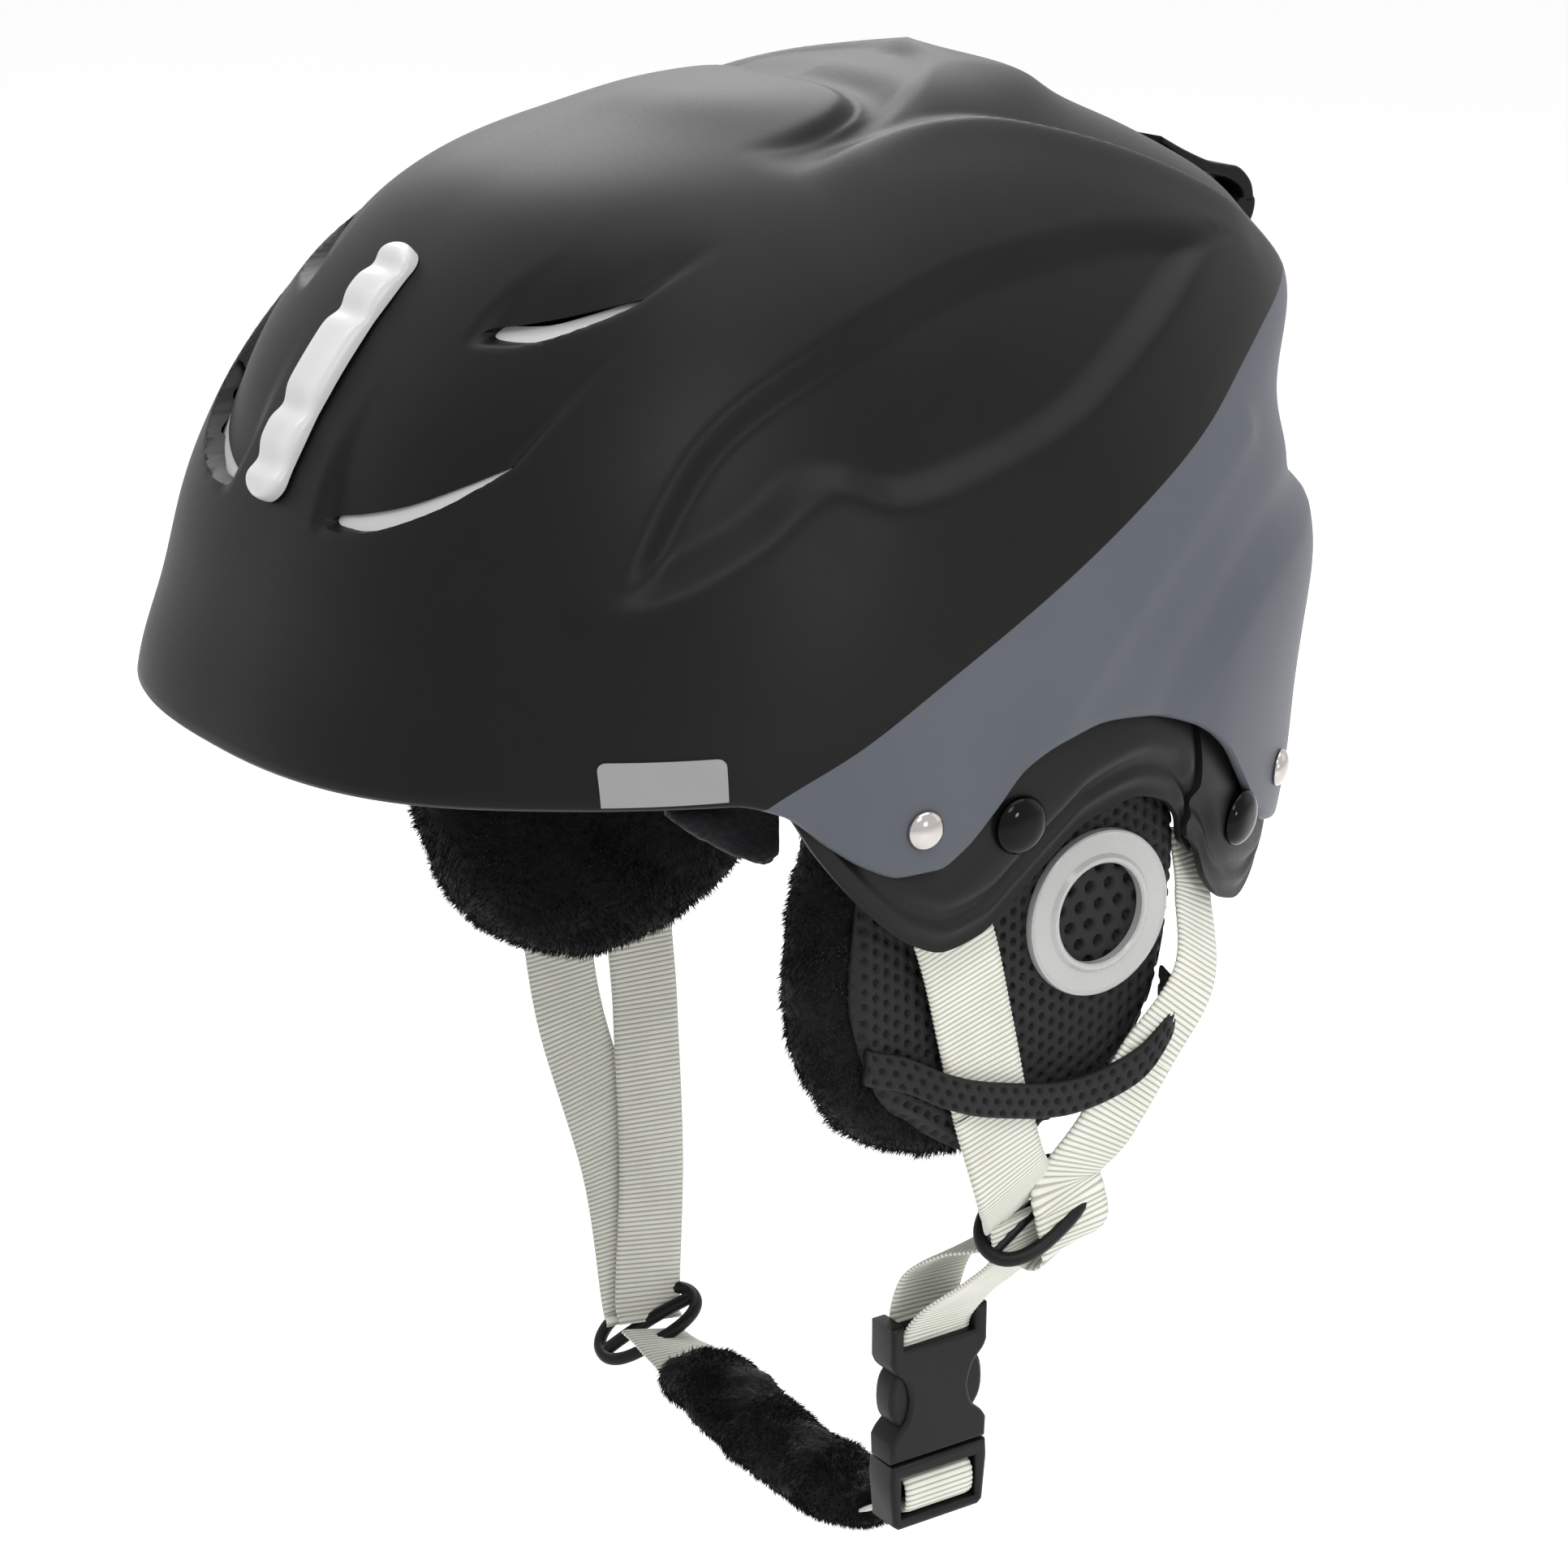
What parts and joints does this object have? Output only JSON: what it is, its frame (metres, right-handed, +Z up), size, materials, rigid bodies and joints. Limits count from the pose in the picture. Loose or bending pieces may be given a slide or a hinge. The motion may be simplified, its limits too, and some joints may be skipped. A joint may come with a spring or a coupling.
{
  "type": "ski helmet",
  "caption": "Hard shell snow helmet with foam liner, sliding front vent, goggle clip, soft ear pads and a chin harness with a side release buckle.",
  "frame": {"origin": "on the symmetry plane, level with the brow edge, at the middle of the head opening, where a head holds the helmet", "axes": "+Z up through the crown, -Y to the front (the face), +X to the wearer's left"},
  "size_m": [0.221, 0.2637, 0.3419],
  "materials": {
    "shell_black": "soft touch matt",
    "foam_black": "beaded foam",
    "white_plastic": "satin",
    "black_plastic": "fine grain",
    "gloss_black": "polished",
    "chrome": "polished",
    "steel": "plain",
    "soft_skirt": "matt",
    "fleece": "brushed",
    "plush": "short pile",
    "spacer_mesh": "open knit",
    "pad_foam": "open cell",
    "ring_clear": "frosted",
    "webbing": "ribbed",
    "badge_grey": "matt"
  },
  "bodies": {
    "shell": {"outer_shell": "shell_black", "foam_liner": "foam_black", "clip_base": "black_plastic", "clip_pin": "steel", "skirt_left": "soft_skirt", "skirt_right": "soft_skirt", "rear_trim": "soft_skirt", "rivets": "chrome", "rivet_washers": "steel", "snap_caps": "gloss_black", "snap_sockets": "steel", "side_badge": "badge_grey", "brow_pad": "fleece", "crown_pad": "fleece", "nape_pad": "fleece", "side_pad_left": "fleece", "side_pad_right": "fleece", "liner_flap_left": "fleece", "liner_flap_right": "fleece", "front_strap_left": "webbing", "front_strap_right": "webbing", "rear_strap_left": "webbing", "rear_strap_right": "webbing", "divider_left": "black_plastic", "divider_right": "black_plastic"},
    "vent": {"vent_slider": "white_plastic", "vent_shutter": "white_plastic", "slider_screws": "steel"},
    "clip": {"clip_arm": "black_plastic"},
    "ear_left": {"ear_cover_left": "spacer_mesh", "ear_core_left": "pad_foam", "ear_fur_left": "plush", "ear_mesh_left": "spacer_mesh", "ear_ring_left": "ring_clear", "strap_keeper_left": "spacer_mesh"},
    "ear_right": {"ear_cover_right": "spacer_mesh", "ear_core_right": "pad_foam", "ear_fur_right": "plush", "ear_mesh_right": "spacer_mesh", "ear_ring_right": "ring_clear", "strap_keeper_right": "spacer_mesh"},
    "chin": {"lower_strap": "webbing", "chin_webbing": "webbing", "chin_pad": "plush", "buckle_socket": "black_plastic"},
    "plug": {"buckle_plug": "black_plastic", "plug_webbing": "webbing"},
    "prong_front": {"prong_front": "black_plastic"},
    "prong_rear": {"prong_rear": "black_plastic"}
  },
  "joints": [
    {"name": "vent_slide", "type": "hinge", "parent": "shell", "child": "vent", "pos_m": [0, 0.024, -0.0155], "axis": [-1, 0, 0], "range_deg": [-0.8, 4.2]},
    {"name": "clip_open", "type": "hinge", "parent": "shell", "child": "clip", "pos_m": [0, 0.1345, 0.084], "axis": [-1, 0, 0], "range_deg": [0, 25], "stiffness_Nm_per_rad": 0.2, "springref_deg": -5.73},
    {"name": "ear_left_fold", "type": "hinge", "parent": "shell", "child": "ear_left", "pos_m": [0.0925, 0, -0.014], "axis": [0, 1, 0], "range_deg": [0, 15], "stiffness_Nm_per_rad": 0.5, "springref_deg": -2.86, "deforming": ["front_strap_left", "rear_strap_left"]},
    {"name": "ear_right_fold", "type": "hinge", "parent": "shell", "child": "ear_right", "pos_m": [-0.0925, 0, -0.014], "axis": [0, -1, 0], "range_deg": [0, 15], "stiffness_Nm_per_rad": 0.5, "springref_deg": -2.86, "deforming": ["front_strap_right", "rear_strap_right"]},
    {"name": "chin_swing", "type": "hinge", "parent": "shell", "child": "chin", "pos_m": [0.0045, 0.0265, -0.16], "axis": [0.8655, 0.0054, 0.5008], "range_deg": [-35, 35], "deforming": ["lower_strap"]},
    {"name": "plug_slide", "type": "slide", "parent": "chin", "child": "plug", "axis": [0, 0, -1], "range_m": [0, 0.024], "deforming": ["chin_webbing"]},
    {"name": "prong_front_flex", "type": "hinge", "parent": "plug", "child": "prong_front", "pos_m": [0.057, 0.012, -0.1812], "axis": [-1, 0, 0], "range_deg": [0, 7], "stiffness_Nm_per_rad": 0.02, "springref_deg": -5.73},
    {"name": "prong_rear_flex", "type": "hinge", "parent": "plug", "child": "prong_rear", "pos_m": [0.057, 0.028, -0.1812], "axis": [1, 0, 0], "range_deg": [0, 7], "stiffness_Nm_per_rad": 0.02, "springref_deg": -5.73}
  ],
  "couplings": [
    {"joint": "prong_rear_flex", "follows": "prong_front_flex", "ratio": 1}
  ]
}
